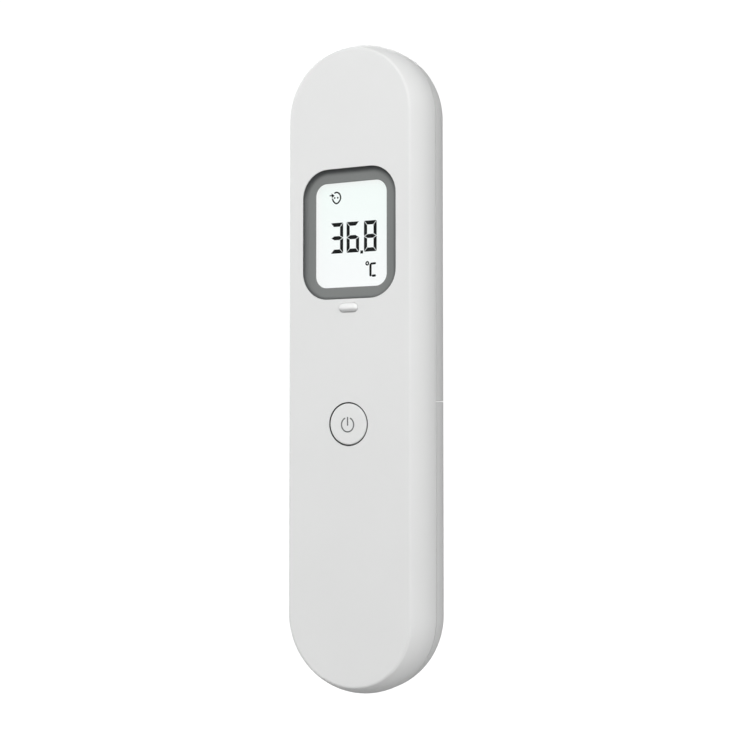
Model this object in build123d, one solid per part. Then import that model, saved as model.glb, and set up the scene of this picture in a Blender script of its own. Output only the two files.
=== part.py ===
from build123d import *
import os

# Non-contact digital thermometer, standing upright: +Z runs up its length, its display faces -Y.
# Shapes are drawn with depth 0 on the flat front face, and depth grows towards the back (+Y).

# Body
LENGTH = 150.0
HALF_WIDTH = 17.9
BODY_DEPTH = 18.5
WALL = 1.6
FRONT_WALL = 1.8
CREASE_INSET = 2.4
CREASE_RADIUS = 0.8
BEVEL_DEPTH = 7.5
REAR_START = 10.0
BACK_FLAT_HALF = 12.2
REACH = LENGTH / 2 - HALF_WIDTH
INNER_BACK = BODY_DEPTH - WALL

# Reach of a cut past the front and back faces, and of an overlap that joins two shapes
AHEAD = -1.0
BEYOND = BODY_DEPTH + 1.0
ROOT = FRONT_WALL / 2
SLACK = 0.1

# Seam between the front cover and what lies behind it
SEAM_FRONT = 8.5
SEAM_BACK = 8.7
LIP_HALF = 17.0
LIP_TOP = 7.5
RIM_THICKNESS = 0.8
RIM_BACK = 9.5
SILL_HALF = 16.0

# Display
WINDOW_Z = 30.1
WINDOW_WIDTH = 24.0
WINDOW_HEIGHT = 30.0
WINDOW_CORNER = 6.5
VIEW_Z = 29.95
VIEW_WIDTH = 18.3
VIEW_HEIGHT = 24.1
VIEW_CORNER = 2.8
LENS_WIDTH = 20.0
LENS_HEIGHT = 25.8
LENS_CORNER = 3.4
CELL_WIDTH = 22.4
CELL_HEIGHT = 28.4
CELL_BACK = 4.3
FLANGE_FRONT = FRONT_WALL + 0.05
FLANGE_BACK = 2.5

# Indicator light and power button
PIPE_Z = 13.1
PIPE_WIDTH = 4.9
PIPE_HEIGHT = 2.2
PIPE_RISE = 0.65
BUTTON_Z = -13.35
BUTTON_RADIUS = 4.7
BUTTON_HOLE = 5.0
PLUNGER_RADIUS = 1.6

# Main board
BOARD_FRONT = 6.3
BOARD_BACK = 7.3
BOARD_HALF = 13.5
BOARD_BOTTOM = -17.0
BOARD_SCREWS = [(-11.0, 52.5), (11.0, 52.5), (-11.0, 1.0), (11.0, 1.0)]
CHIP_STANDOFF = BOARD_BACK + 0.1
LEAD_BACK = 7.7
CONTROLLER_Z = 31.0
MEMORY_Z = 19.0
BUZZER_Z = 4.0

# Infrared sensor, on the axis of the round top end
SENSOR_Z = REACH
PIN_CIRCLE = 1.27
CAN_BASE = 8.8
CAN_END = 12.0
SLEEVE_END = 12.2
THROAT_RADIUS = 3.2
MOUTH_RADIUS = 6.1
CONE_START = 12.8
CONE_END = 17.9
TRIM_RADIUS = 8.0

# Battery compartment: two AAA cells side by side
DOOR_TOP = -8.3
DOOR_GAP = 0.2
BULKHEAD_TOP = DOOR_TOP + 1.4
TONGUE_WIDTH = 2.4
CELL_RADIUS = 5.2
CELL_BODY = 43.7
CELL_X = 5.6
CELL_DEPTH = 11.45
NUB_HEIGHT = 0.8
PLATE = 0.4
PLATE_DEPTH = 7.0
WIRE_RADIUS = 0.3
TRAY_HALF = 12.4
TRAY_WALL = 1.2
TRAY_TOP = -17.2
TRAY_BOTTOM = -68.2
TRAY_FRONT = 5.0
TRAY_FLOOR = 1.0
TRAY_BACK = 13.6
TRAY_CORNER = 3.4
TRAY_MIDDLE = (TRAY_TOP + TRAY_BOTTOM) / 2
CELL_TOP = TRAY_TOP - TRAY_WALL - PLATE - NUB_HEIGHT - 0.05

# Screws
CASE_SCREWS = [(-14.3, -24.0), (14.3, -24.0), (-14.3, -52.0), (14.3, -52.0)]
SCREW_RADIUS = 0.9
SCREW_START = 3.3
PILOT_RADIUS = 0.95
PILOT_START = 3.0
CLEARANCE_RADIUS = 1.1
CASE_HEAD_RADIUS = 1.7
BOARD_HEAD_RADIUS = 1.6

MID_DEPTH = (BODY_DEPTH - PIPE_RISE) / 2


def save(node, shape):
    """Write one sub-part, moved so that the origin is the middle of the whole object."""
    placed = Pos(0, -MID_DEPTH, 0) * shape
    placed.label = node
    export_step(placed, f"parts/{node}.step")


def slab(outline, near, far):
    """Thicken an outline, drawn as (x, z), from one depth to another."""
    return extrude(Plane.XZ.offset(-near) * outline, amount=near - far)


def disc(x, z, radius, near, far):
    return slab(Pos(x, z) * Circle(radius), near, far)


def tube(x, z, outer, inner, near, far):
    return slab(Pos(x, z) * (Circle(outer) - Circle(inner)), near, far)


def block(x, z, width, height, near, far):
    return slab(Pos(x, z) * Rectangle(width, height), near, far)


def pad(x, z, width, height, corner, near, far):
    return slab(Pos(x, z) * RectangleRounded(width, height, corner), near, far)


def bar(x, z, width, height, near, far):
    """Round-ended bar that lies across the body."""
    return slab(Pos(x, z) * SlotOverall(width, height), near, far)


def stadium(half, near, far):
    """Plate with the body's straight sides and round ends."""
    return slab(SlotOverall(2 * (REACH + half), 2 * half, rotation=90), near, far)


def section(wall, front_wall):
    """Half of the body's cross-section, a wall in from the outside, as (distance from the middle, depth)."""
    crease_share = 0.9
    side = HALF_WIDTH - wall
    crease = (HALF_WIDTH - CREASE_INSET - crease_share * wall, front_wall)
    widest = (side, BEVEL_DEPTH)
    back = BODY_DEPTH - wall
    outline = [
        Line((0, front_wall), crease),
        TangentArc(widest, crease, tangent=(0, -1)),
        Line(widest, (side, REAR_START)),
        EllipticalCenterArc((BACK_FLAT_HALF, REAR_START), side - BACK_FLAT_HALF, back - REAR_START, 0, arc_size=90),
        Line((BACK_FLAT_HALF, back), (0, back)),
        Line((0, back), (0, front_wall)),
    ]
    half = make_face(outline)
    corner = half.vertices().sort_by_distance((crease[0], crease[1], 0))[0]
    return fillet(corner, CREASE_RADIUS)


def pill(half):
    """Sweep a half section along the straight sides and turn it round both ends."""
    whole = half + mirror(half, about=Plane.YZ)
    middle = extrude(Pos(0, 0, -REACH) * whole, amount=2 * REACH)
    low_end = revolve(half, axis=Axis.Y, revolution_arc=180)
    high_end = mirror(low_end, about=Plane.XY)
    return middle + Pos(0, 0, -REACH) * low_end + Pos(0, 0, REACH) * high_end


def above(z):
    return Pos(0, 0, z + LENGTH) * Box(LENGTH, LENGTH, 2 * LENGTH)


def below(z):
    return Pos(0, 0, z - LENGTH) * Box(LENGTH, LENGTH, 2 * LENGTH)


SHELL = pill(section(0, 0)) - pill(section(WALL, FRONT_WALL))
SOLID_BODY = pill(section(0.5, 0.5))


def front_cover():
    """Shell in front of the seam, with screw bosses, a wall round the switch and three ribs."""
    board_boss, case_boss = 2.0, 1.8
    collar_outer, collar_inner, collar_end = 7.2, 6.2, 3.0
    rib_width, rib_thickness, rib_end = 20.0, 1.0, 3.2
    cover = SHELL & stadium(2 * HALF_WIDTH, AHEAD, SEAM_FRONT)
    for x, z in BOARD_SCREWS:
        cover += disc(x, z, board_boss, ROOT, BOARD_FRONT)
    for x, z in CASE_SCREWS:
        cover += disc(x, z, case_boss, ROOT, LIP_TOP) & SOLID_BODY
    cover += tube(0, BUTTON_Z, collar_outer, collar_inner, ROOT, collar_end)
    for z in (-30.0, -46.0, -62.0):
        cover += block(0, z, rib_width, rib_thickness, ROOT, rib_end)
    for x, z in BOARD_SCREWS:
        cover -= disc(x, z, PILOT_RADIUS, PILOT_START, BOARD_FRONT)
    for x, z in CASE_SCREWS:
        cover -= disc(x, z, PILOT_RADIUS, PILOT_START, LIP_TOP)
    cover -= stadium(LIP_HALF + SLACK, LIP_TOP - SLACK, BODY_DEPTH)
    through = FRONT_WALL + SLACK
    cover -= pad(0, WINDOW_Z, WINDOW_WIDTH, WINDOW_HEIGHT, WINDOW_CORNER, AHEAD, through)
    cover -= bar(0, PIPE_Z, PIPE_WIDTH, PIPE_HEIGHT, AHEAD, through)
    cover -= disc(0, BUTTON_Z, BUTTON_HOLE, AHEAD, through)
    return cover


def tray_plug(wall, near, far):
    """The tray's outline a wall in from its outside: square at the top, rounded where the body is round."""
    width = 2 * (TRAY_HALF - wall)
    top = TRAY_TOP - wall
    height = top - TRAY_BOTTOM - wall
    plug = pad(0, top - height / 2, width, height, TRAY_CORNER - wall, near, far)
    return plug + block(0, top - height / 4, width, height / 2, near, far)


def battery_tray():
    """Open cup that holds the cells, with a rail on each side for the door."""
    rail_z, rail_width, rail_length = -38.5, 1.2, 35.0
    rail_near, rail_far = 11.9, 12.9
    cup = tray_plug(0, TRAY_FRONT, TRAY_BACK)
    for side in (-1, 1):
        cup += block(side * (TRAY_HALF + 0.3), rail_z, rail_width, rail_length, rail_near, rail_far)
    return cup


def rims():
    """Raised rims that close the seam from inside: one in the rear cover, one behind the door's edge."""
    high_rim = stadium(LIP_HALF, LIP_TOP, RIM_BACK) - stadium(LIP_HALF - RIM_THICKNESS, AHEAD, BODY_DEPTH)
    low_rim = stadium(SILL_HALF, LIP_TOP, RIM_BACK) - stadium(SILL_HALF - RIM_THICKNESS, AHEAD, BODY_DEPTH)
    low_rim = low_rim & below(DOOR_TOP)
    for x, z in CASE_SCREWS:
        low_rim -= disc(x, z, CASE_HEAD_RADIUS + 0.15, SEAM_FRONT, BODY_DEPTH)
    return (high_rim & above(DOOR_TOP + DOOR_GAP)) + low_rim


def rear_cover():
    """Upper back shell with its socket for the sensor, the flange under the door and the battery tray."""
    bulkhead_back = 15.0
    socket_outer, socket_inner, socket_front, trim_seat = 8.6, 7.1, 14.8, 17.1
    sound_radius, sound_circle, sound_start = 0.5, 2.2, 16.0
    cover = SHELL & stadium(2 * HALF_WIDTH, SEAM_BACK, BEYOND)
    cover = cover & above(DOOR_TOP + DOOR_GAP)
    flange = stadium(LIP_HALF, LIP_TOP, SEAM_FRONT) & below(BULKHEAD_TOP)
    bulkhead = stadium(HALF_WIDTH - WALL, LIP_TOP, bulkhead_back) & above(DOOR_TOP + DOOR_GAP)
    bulkhead = bulkhead & below(BULKHEAD_TOP) & SOLID_BODY
    cover += rims()
    cover += flange + bulkhead + battery_tray()
    cover += tube(0, SENSOR_Z, socket_outer, socket_inner, socket_front, INNER_BACK + 0.2)
    cover -= tray_plug(TRAY_WALL, TRAY_FRONT + TRAY_FLOOR, BODY_DEPTH)
    for x, z in CASE_SCREWS:
        cover -= disc(x, z, CLEARANCE_RADIUS, 0, REAR_START)
    cover -= disc(0, SENSOR_Z, socket_inner, socket_front - 0.8, BEYOND)
    cover -= disc(0, SENSOR_Z, TRIM_RADIUS, trim_seat, BEYOND)
    cover -= disc(0, BUZZER_Z, sound_radius, sound_start, BEYOND)
    for spot in PolarLocations(sound_circle, 6):
        cover -= disc(spot.position.X, BUZZER_Z + spot.position.Y, sound_radius, sound_start, BEYOND)
    return cover


def battery_door():
    """Lower back shell with runners for the tray's rails, a spring tongue and thumb grooves."""
    runner_x, runner_z, runner_width, runner_length = 14.65, -39.0, 3.9, 38.0
    runner_near, runner_far = 10.5, 11.7
    tongue_near, tongue_far = 15.2, 16.5
    groove_pitch, groove_width, groove_height, groove_depth = 1.8, 13.0, 0.9, 0.4
    door = SHELL & stadium(2 * HALF_WIDTH, SEAM_BACK, BEYOND)
    door = door & below(DOOR_TOP)
    for side in (-1, 1):
        door += block(side * runner_x, runner_z, runner_width, runner_length, runner_near, runner_far)
    door += block(0, -10.0, TONGUE_WIDTH, 3.2, tongue_near, INNER_BACK + 0.3)
    door += block(0, -7.6, TONGUE_WIDTH, 4.8, tongue_near, tongue_far)
    for step in range(5):
        width = groove_width - 1.6 * step
        door -= bar(0, -15.0 - groove_pitch * step, width, groove_height, BODY_DEPTH - groove_depth, BEYOND)
    return door


def window_frame():
    """Grey surround: a shallow dish down to the view area, with a flange behind the wall."""
    rim_depth, foot_depth, lens_seat = 0.45, 0.95, 1.3
    fit, flange_width, flange_height = 0.1, 25.2, 31.0
    frame = pad(0, WINDOW_Z, WINDOW_WIDTH - fit, WINDOW_HEIGHT - fit, WINDOW_CORNER, rim_depth, 2.0)
    frame += pad(0, WINDOW_Z, flange_width, flange_height, WINDOW_CORNER + 0.6, FLANGE_FRONT, FLANGE_BACK)
    rim_outline = RectangleRounded(WINDOW_WIDTH - 1.0, WINDOW_HEIGHT - 1.0, WINDOW_CORNER - 0.5)
    rim = Plane.XZ.offset(-rim_depth) * (Pos(0, WINDOW_Z) * rim_outline)
    view = RectangleRounded(VIEW_WIDTH, VIEW_HEIGHT, VIEW_CORNER)
    foot = Plane.XZ.offset(-foot_depth) * (Pos(0, VIEW_Z) * view)
    frame -= loft([rim.face(), foot.face()])
    frame -= pad(0, VIEW_Z, VIEW_WIDTH, VIEW_HEIGHT, VIEW_CORNER, 0, 3.0)
    frame -= pad(0, VIEW_Z, LENS_WIDTH + 0.2, LENS_HEIGHT + 0.2, LENS_CORNER + 0.1, lens_seat, 3.0)
    return frame


def display_lens():
    return pad(0, VIEW_Z, LENS_WIDTH, LENS_HEIGHT, LENS_CORNER, 1.35, 2.45)


def lcd_cell():
    """Two glass plates, the front one a little shorter to bare the contact ledges."""
    glass_meets, face, ledges = 3.5, 2.7, 1.6
    rear_plate = block(0, WINDOW_Z, CELL_WIDTH, CELL_HEIGHT, glass_meets, CELL_BACK)
    front_plate = block(0, WINDOW_Z, CELL_WIDTH, CELL_HEIGHT - ledges, face, glass_meets)
    return rear_plate + front_plate


def lcd_holder():
    """Frame that stands on the board round the display cell."""
    holder = pad(0, WINDOW_Z, 24.2, 29.6, 1.0, 2.65, BOARD_FRONT)
    holder -= block(0, WINDOW_Z, CELL_WIDTH + 0.2, CELL_HEIGHT + 0.2, 2.0, BOARD_FRONT)
    return holder


def backlight_guide():
    return block(0, 30.4, 21.6, 22.8, CELL_BACK + 0.1, 5.6)


def backlight_leds():
    return [block(x, 18.0, 1.6, 0.8, 5.4, BOARD_FRONT) for x in (-6.0, 0.0, 6.0)]


def zebra_strips():
    """Rubber connector strips between the cell's contact ledges and the board."""
    offset = CELL_HEIGHT / 2 - 0.6
    return [block(0, WINDOW_Z + side * offset, 21.0, 1.0, CELL_BACK, BOARD_FRONT) for side in (-1, 1)]


def indicator_light_pipe():
    """Raised lozenge, a flange behind the wall and a stem that ends over its light."""
    fit, edge_radius, stem_radius, stem_end = 0.1, 0.45, 1.0, 5.4
    lozenge = bar(0, PIPE_Z, PIPE_WIDTH - fit, PIPE_HEIGHT - fit, -PIPE_RISE, 2.0)
    lozenge = fillet(lozenge.faces().sort_by(Axis.Y)[0].edges(), edge_radius)
    flange = pad(0, PIPE_Z, 6.4, 2.7, 0.6, FLANGE_FRONT, FLANGE_BACK)
    return lozenge + flange + disc(0, PIPE_Z, stem_radius, FLANGE_BACK, stem_end)


def indicator_led():
    return block(0, PIPE_Z, 2.0, 1.25, 5.5, BOARD_FRONT)


def power_button():
    """Round cap with a flange that stops it behind the wall, and a stem on the switch."""
    proud, edge_radius, flange_radius, stem_radius, stem_end = 0.1, 0.35, 5.8, 1.5, 3.2
    cap = disc(0, BUTTON_Z, BUTTON_RADIUS, -proud, 2.0)
    cap = fillet(cap.faces().sort_by(Axis.Y)[0].edges(), edge_radius)
    flange = disc(0, BUTTON_Z, flange_radius, FRONT_WALL + SLACK, FLANGE_BACK)
    return cap + flange + disc(0, BUTTON_Z, stem_radius, FLANGE_BACK, stem_end)


def switch_body():
    """Square tactile switch with a well for its plunger."""
    body = block(0, BUTTON_Z, 6.0, 6.0, 3.75, BOARD_FRONT)
    return body - disc(0, BUTTON_Z, PLUNGER_RADIUS + 0.05, 3.0, 5.6)


def switch_plunger():
    return disc(0, BUTTON_Z, PLUNGER_RADIUS, 3.25, 5.1)


def pin_places():
    """The four places round the sensor's axis where its pins pass the board."""
    spots = PolarLocations(PIN_CIRCLE, 4, start_angle=45)
    return [(spot.position.X, SENSOR_Z + spot.position.Y) for spot in spots]


def main_board():
    """Board with a round top end, holes for its screws and for the sensor's pins."""
    outline = Pos(0, (SENSOR_Z + BOARD_BOTTOM) / 2) * Rectangle(2 * BOARD_HALF, SENSOR_Z - BOARD_BOTTOM)
    outline += Pos(0, SENSOR_Z) * Circle(BOARD_HALF)
    board = slab(outline, BOARD_FRONT, BOARD_BACK)
    for x, z in BOARD_SCREWS:
        board -= disc(x, z, CLEARANCE_RADIUS, 0, BODY_DEPTH)
    for x, z in pin_places():
        board -= disc(x, z, 0.3, 0, BODY_DEPTH)
    return board


def microcontroller():
    """Flat square package with leads along all four sides."""
    side, span, pitch, lead_width = 7.0, 9.0, 0.8, 0.35
    package = block(0, CONTROLLER_Z, side, side, CHIP_STANDOFF, 8.7)
    for step in range(8):
        along = pitch * (step - 3.5)
        package += block(0, CONTROLLER_Z + along, span, lead_width, BOARD_BACK, LEAD_BACK)
        package += block(along, CONTROLLER_Z, lead_width, span, BOARD_BACK, LEAD_BACK)
    return package


def memory_chip():
    """Small package with four leads on each long side."""
    pitch, span, lead_width = 1.27, 6.0, 0.4
    package = block(0, MEMORY_Z, 3.9, 4.9, CHIP_STANDOFF, 8.5)
    for step in range(4):
        package += block(0, MEMORY_Z + pitch * (step - 1.5), span, lead_width, BOARD_BACK, LEAD_BACK)
    return package


def crystal():
    return bar(-8.0, CONTROLLER_Z, 4.6, 2.0, BOARD_BACK, 8.6)


def chip_capacitors():
    """Small chip capacitors in two columns beside the controller."""
    spots = GridLocations(18.0, 2.2, 2, 5)
    return [block(spot.position.X, 17.0 + spot.position.Y, 1.6, 0.8, BOARD_BACK, 8.1) for spot in spots]


def chip_resistors():
    return [block(-7.0 + 2.0 * step, 40.0, 0.8, 1.6, BOARD_BACK, 7.8) for step in range(8)]


def buzzer():
    """Round sounder with a sound hole in its end."""
    can = disc(0, BUZZER_Z, 4.6, BOARD_BACK, 10.5)
    return can - disc(0, BUZZER_Z, 1.0, 9.7, 11.0)


def sensor_can():
    """Metal can with a base flange and a window seat in its end."""
    base_radius, can_radius, base_end, seat = 2.7, 2.3, 9.2, 11.7
    can = disc(0, SENSOR_Z, base_radius, CAN_BASE, base_end) + disc(0, SENSOR_Z, can_radius, base_end, CAN_END)
    return can - disc(0, SENSOR_Z, 1.45, seat, CAN_END + 1)


def sensor_filter():
    return disc(0, SENSOR_Z, 1.4, 11.7, CAN_END - 0.05)


def sensor_pins():
    return [disc(x, z, 0.22, 6.0, CAN_BASE) for x, z in pin_places()]


def sensor_sleeve():
    return tube(0, SENSOR_Z, 4.4, 2.8, 8.4, SLEEVE_END)


def sensor_gasket():
    return tube(0, SENSOR_Z, 4.3, 3.0, SLEEVE_END, CONE_START)


def frustum(start_radius, end_radius, near, far):
    """Cone frustum round the sensor's axis."""
    start = Plane.XZ.offset(-near) * (Pos(0, SENSOR_Z) * Circle(start_radius))
    end = Plane.XZ.offset(-far) * (Pos(0, SENSOR_Z) * Circle(end_radius))
    return loft([start.face(), end.face()])


def sensor_cone():
    """Horn that opens from the sensor to the back face, with a flange in the trim seat."""
    throat_outer, mouth_outer, flange_radius = 4.4, 6.9, TRIM_RADIUS - 0.2
    horn = frustum(throat_outer, mouth_outer, CONE_START, 17.4)
    horn += disc(0, SENSOR_Z, flange_radius, 17.15, CONE_END)
    return horn - frustum(THROAT_RADIUS, MOUTH_RADIUS, CONE_START, CONE_END)


def sensor_ring():
    ring = tube(0, SENSOR_Z, TRIM_RADIUS - 0.1, MOUTH_RADIUS + 0.2, CONE_END, BODY_DEPTH)
    return fillet(ring.faces().sort_by(Axis.Y)[-1].edges(), 0.2)


def flipped(shape):
    """The same piece the other way up, on the other side of the tray."""
    return Pos(0, 0, TRAY_MIDDLE) * Rot(0, 180, 0) * Pos(0, 0, -TRAY_MIDDLE) * shape


def left_cell():
    """AAA cell with its positive end up."""
    nub_radius, end_radius = 1.9, 0.5
    body = fillet(Cylinder(CELL_RADIUS, CELL_BODY).edges(), end_radius)
    body += Pos(0, 0, (CELL_BODY + NUB_HEIGHT) / 2) * Cylinder(nub_radius, NUB_HEIGHT)
    return Pos(-CELL_X, 0, CELL_TOP - CELL_BODY / 2) * body


def upper_plate():
    """Upright metal plate against the top end wall of the tray."""
    return Pos(-CELL_X, 0, TRAY_TOP - TRAY_WALL - PLATE / 2) * Box(8.4, PLATE_DEPTH, PLATE)


def lower_plate():
    """Plate across both cells, against the bottom end wall of the tray."""
    return Pos(0, 0, TRAY_BOTTOM + TRAY_WALL + PLATE / 2) * Box(15.6, PLATE_DEPTH, PLATE)


def lower_spring():
    """Conical spring as rings that shrink from the lower plate towards the left cell."""
    turns, widest, shrink = 4, 3.6, 0.5
    base = TRAY_BOTTOM + TRAY_WALL + PLATE + WIRE_RADIUS
    tip = CELL_TOP - CELL_BODY - WIRE_RADIUS - 0.05
    rings = []
    for turn in range(turns):
        z = base + (tip - base) * turn / (turns - 1)
        rings.append(Pos(-CELL_X, 0, z) * Torus(widest - shrink * turn, WIRE_RADIUS))
    return rings


def screws(spots, head_radius, seat, head_top):
    """Cross-recessed screws with their heads towards the back."""
    recess_length, recess_width, recess_depth = 1.6, 0.4, 0.6
    floor = head_top - recess_depth
    made = []
    for x, z in spots:
        screw = disc(x, z, SCREW_RADIUS, SCREW_START, seat) + disc(x, z, head_radius, seat, head_top)
        recess = block(x, z, recess_length, recess_width, floor, BODY_DEPTH)
        recess += block(x, z, recess_width, recess_length, floor, BODY_DEPTH)
        made.append(screw - recess)
    return made


def group(solids):
    """Several like pieces as one sub-part."""
    return Compound(children=[piece.solid() for piece in solids])


def main():
    os.makedirs("parts", exist_ok=True)
    singles = [
        front_cover, rear_cover, battery_door, window_frame, display_lens, lcd_cell, lcd_holder, backlight_guide,
        indicator_light_pipe, indicator_led, power_button, switch_body, switch_plunger, main_board,
        microcontroller, memory_chip, crystal, buzzer, sensor_can, sensor_filter, sensor_sleeve, sensor_gasket,
        sensor_cone, sensor_ring,
    ]
    for build in singles:
        save(build.__name__, build())
    for build in (backlight_leds, zebra_strips, chip_capacitors, chip_resistors, sensor_pins):
        save(build.__name__, group(build()))
    in_tray = Pos(0, CELL_DEPTH, 0)
    save("battery_left", in_tray * left_cell())
    save("battery_right", in_tray * flipped(left_cell()))
    save("contact_positive", in_tray * upper_plate())
    save("contact_negative", in_tray * Pos(2 * CELL_X, 0, 0) * upper_plate())
    save("contact_bridge", in_tray * lower_plate())
    save("bridge_spring", group([in_tray * ring for ring in lower_spring()]))
    save("negative_spring", group([in_tray * flipped(ring) for ring in lower_spring()]))
    save("case_screws", group(screws(CASE_SCREWS, CASE_HEAD_RADIUS, SEAM_FRONT, 9.9)))
    save("board_screws", group(screws(BOARD_SCREWS, BOARD_HEAD_RADIUS, BOARD_BACK, 8.4)))


main()
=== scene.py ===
"""A non-contact digital thermometer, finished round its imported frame.

Lengths are metres, and MM turns millimetres into metres."""
import math

import bmesh
import bpy
import numpy as np
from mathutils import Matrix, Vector


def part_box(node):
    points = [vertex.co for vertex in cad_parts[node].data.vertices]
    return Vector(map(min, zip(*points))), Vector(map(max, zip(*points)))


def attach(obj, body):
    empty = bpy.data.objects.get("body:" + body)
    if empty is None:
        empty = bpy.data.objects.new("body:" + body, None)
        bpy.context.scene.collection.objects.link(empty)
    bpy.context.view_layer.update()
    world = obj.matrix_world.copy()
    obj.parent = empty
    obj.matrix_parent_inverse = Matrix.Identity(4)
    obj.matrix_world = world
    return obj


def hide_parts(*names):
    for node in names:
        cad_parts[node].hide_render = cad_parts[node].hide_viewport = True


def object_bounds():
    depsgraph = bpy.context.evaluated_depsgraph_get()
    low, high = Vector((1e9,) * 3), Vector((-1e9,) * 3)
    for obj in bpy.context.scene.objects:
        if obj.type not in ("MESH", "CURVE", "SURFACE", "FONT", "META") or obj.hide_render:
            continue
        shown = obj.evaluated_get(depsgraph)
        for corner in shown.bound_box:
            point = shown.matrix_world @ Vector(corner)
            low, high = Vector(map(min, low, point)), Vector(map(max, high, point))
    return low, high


MM = 0.001

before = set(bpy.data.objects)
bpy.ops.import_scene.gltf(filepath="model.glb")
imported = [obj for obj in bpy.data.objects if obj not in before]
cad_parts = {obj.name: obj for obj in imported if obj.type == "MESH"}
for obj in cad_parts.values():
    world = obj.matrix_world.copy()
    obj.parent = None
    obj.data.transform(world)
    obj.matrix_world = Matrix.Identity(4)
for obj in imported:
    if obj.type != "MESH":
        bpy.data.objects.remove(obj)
CAD_BOX = [list(corner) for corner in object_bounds()]


# ---------------------------------------------------------------------------
# Places, read from the frame
# ---------------------------------------------------------------------------

def middle(node):
    """Middle of a node's box."""
    low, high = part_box(node)
    return (Vector(low) + Vector(high)) / 2


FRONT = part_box("front_cover")[0][1]
BOTTOM = CAD_BOX[0][2]
WINDOW = middle("window_frame")
CELL_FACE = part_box("lcd_cell")[0][1]
PIPE = middle("indicator_light_pipe")
BUTTON = middle("power_button")
BUTTON_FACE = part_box("power_button")[0][1]
SEAM = FRONT + 8.6 * MM

# Groove round the button: its outer radius, the edge of the cap in it, where painted shade darkens it and
# where it ends
GROOVE_RADIUS = 5.03 * MM
CAP_EDGE = 4.5 * MM
GROOVE_TOP = BUTTON_FACE + 0.12 * MM
GROOVE_PAINTED_SHADE_FULL = BUTTON_FACE + 0.4 * MM
GROOVE_FLOOR = BUTTON_FACE + 3.5 * MM
# Painted shade: how much greyer the covers are made behind the seam
REAR_PAINTED_SHADE = 0.88

# Display surround, outside and inside: half width, half height and corner radius in millimetres
SURROUND_OUTER = (11.95, 14.95, 6.45)
SURROUND_INNER = (9.15, 12.05, 2.8)
# Depths of the ink on the display, and how much its plates are rounded
INK_NEAR = CELL_FACE - 0.03 * MM
INK_FAR = CELL_FACE + 0.01 * MM
INK_EDGE = 0.006 * MM

# AAA cell in millimetres
SLEEVE_RADIUS = 5.2
BODY_LENGTH = 43.7
HALF_NUB = 0.4

# Studio: broad soft boxes round the horizon, each by its turn from the front towards +X and its level
SOFT_BOXES = ((0.0, 0.94), (45.0, 1.94), (90.0, 1.32), (-45.0, 0.72), (-90.0, 1.6), (-125.0, 0.8))
BOX_TIGHTNESS = 3.0
BACKDROP_LEVEL = 1.05
FLOOR_GLOW = 0.9
FLOOR_BOUNCE = 0.4
# The floor lies below the whole travel of the battery door
FLOOR_DROP = 72.0 * MM
FLOOR_RADIUS = 4.0
# Area lights: name, place, target, width and power
LAMPS = (
    ("overhead", (0.03, -0.22, 0.22), (0.0, 0.0, 0.04), 0.12, 0.076),
    ("back_fill", (-0.246, 0.426, 0.344), (0.0, 0.0, 0.0), 0.25, 0.95),
)
# Camera: its turn from the front towards +X and its upward tilt, its distance, how far it stands to its
# right and below the middle of the thermometer, and its lens
CAMERA_TURN = math.radians(27.635)
CAMERA_PITCH = math.radians(1.992)
CAMERA_DISTANCE = 293.37 * MM
CAMERA_SIDE = 4.007 * MM
CAMERA_DROP = 10.619 * MM
CAMERA_LENS = 63.47


# ---------------------------------------------------------------------------
# Shader maths
# ---------------------------------------------------------------------------

class Wire:
    """A number carried by a shader socket, which joins in sums as a Python value does."""

    def __init__(self, finish, socket):
        self.finish = finish
        self.socket = socket

    def maths(self, operation, left, right=0.0):
        return self.finish.node("ShaderNodeMath", {"operation": operation}, {0: left, 1: right})

    def __add__(self, other):
        return self.maths("ADD", self, other)

    def __radd__(self, other):
        return self.maths("ADD", other, self)

    def __sub__(self, other):
        return self.maths("SUBTRACT", self, other)

    def __rsub__(self, other):
        return self.maths("SUBTRACT", other, self)

    def __mul__(self, other):
        return self.maths("MULTIPLY", self, other)

    def __rmul__(self, other):
        return self.maths("MULTIPLY", other, self)

    def __truediv__(self, other):
        return self.maths("DIVIDE", self, other)

    def __rtruediv__(self, other):
        return self.maths("DIVIDE", other, self)

    def __pow__(self, other):
        return self.maths("POWER", self, other)

    def __gt__(self, other):
        return self.maths("GREATER_THAN", self, other)

    def __lt__(self, other):
        return self.maths("LESS_THAN", self, other)

    def __abs__(self):
        return self.maths("ABSOLUTE", self)

    def at_most(self, other):
        return self.maths("MINIMUM", self, other)

    def at_least(self, other):
        return self.maths("MAXIMUM", self, other)

    def wave(self):
        return self.maths("SINE", self)

    def fraction(self):
        return self.maths("FRACT", self)


class Nodes:
    """A node tree, built node by node, that starts from one kind of coordinate."""

    def __init__(self, tree, coordinate):
        self.tree = tree
        self.tree.nodes.clear()
        self.place = self.node("ShaderNodeTexCoord", output=coordinate)
        apart = self.node("ShaderNodeSeparateXYZ", inputs={0: self.place})
        self.x, self.y, self.z = (Wire(self, apart.socket.node.outputs[axis]) for axis in "XYZ")

    def node(self, kind, settings=None, inputs=None, output=0):
        """Add a node: its settings first, then the values or wires of its sockets; gives one output."""
        made = self.tree.nodes.new(kind)
        for name, value in (settings or {}).items():
            setattr(made, name, value)
        for name, value in (inputs or {}).items():
            if isinstance(value, Wire):
                self.tree.links.new(value.socket, made.inputs[name])
            else:
                made.inputs[name].default_value = value
        return None if output is None else Wire(self, made.outputs[output])

    def smooth(self, value, low, high):
        """0 below `low`, 1 above `high`, with an eased step between."""
        sockets = {0: value, 1: low, 2: high}
        return self.node("ShaderNodeMapRange", {"interpolation_type": "SMOOTHSTEP"}, sockets)


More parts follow.
